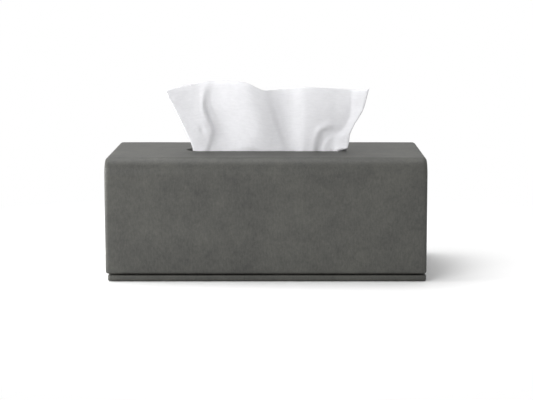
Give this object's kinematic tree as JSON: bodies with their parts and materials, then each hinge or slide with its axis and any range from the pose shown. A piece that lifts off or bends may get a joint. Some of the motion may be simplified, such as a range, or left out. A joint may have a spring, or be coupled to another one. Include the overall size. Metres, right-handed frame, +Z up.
{
  "type": "tissue box with drawer",
  "caption": "Leather-covered tissue box: a sleeve with a slot in its top, over a plate that draws out to the right as a drawer with the tissues on it.",
  "frame": {"origin": "middle of the box's foot, on the surface that the felt stands on", "axes": "+X to the right along the box's width, the way the drawer draws out; +Y to the back; +Z up"},
  "size_m": [0.26, 0.145, 0.1588],
  "materials": {
    "leather": "matt grey-green suede-like leatherette",
    "board": "raw medium-density fibreboard",
    "lining": "dark flocked microfibre",
    "felt": "pressed felt",
    "rail": "waxed beech",
    "tray": "black stained plywood",
    "magnet": "nickel plated",
    "steel": "zinc plated",
    "tissue": "soft two-ply tissue paper"
  },
  "bodies": {
    "sleeve": {"sleeve_skin": "leather", "front_board": "board", "front_bend": "board", "top_board": "board", "back_bend": "board", "back_board": "board", "sleeve_lining": "lining", "left_panel_board": "board", "left_panel_skin": "leather", "left_panel_lining": "lining", "front_rail": "rail", "back_rail": "rail", "drawer_stops": "rail", "closing_magnets": "magnet", "tissue": "tissue"},
    "drawer": {"plate_skin": "leather", "plate_board": "board", "plate_felt": "felt", "drawer_front_board": "board", "drawer_front_skin": "leather", "drawer_front_lining": "lining", "drawer_side_front": "tray", "drawer_side_back": "tray", "drawer_tail": "tray", "keeper_discs": "steel", "drawer_lining": "lining", "tissue_stack": "tissue"}
  },
  "joints": [
    {"name": "drawer_slide", "type": "slide", "parent": "sleeve", "child": "drawer", "axis": [1, 0, 0], "range_m": [0, 0.205]}
  ]
}
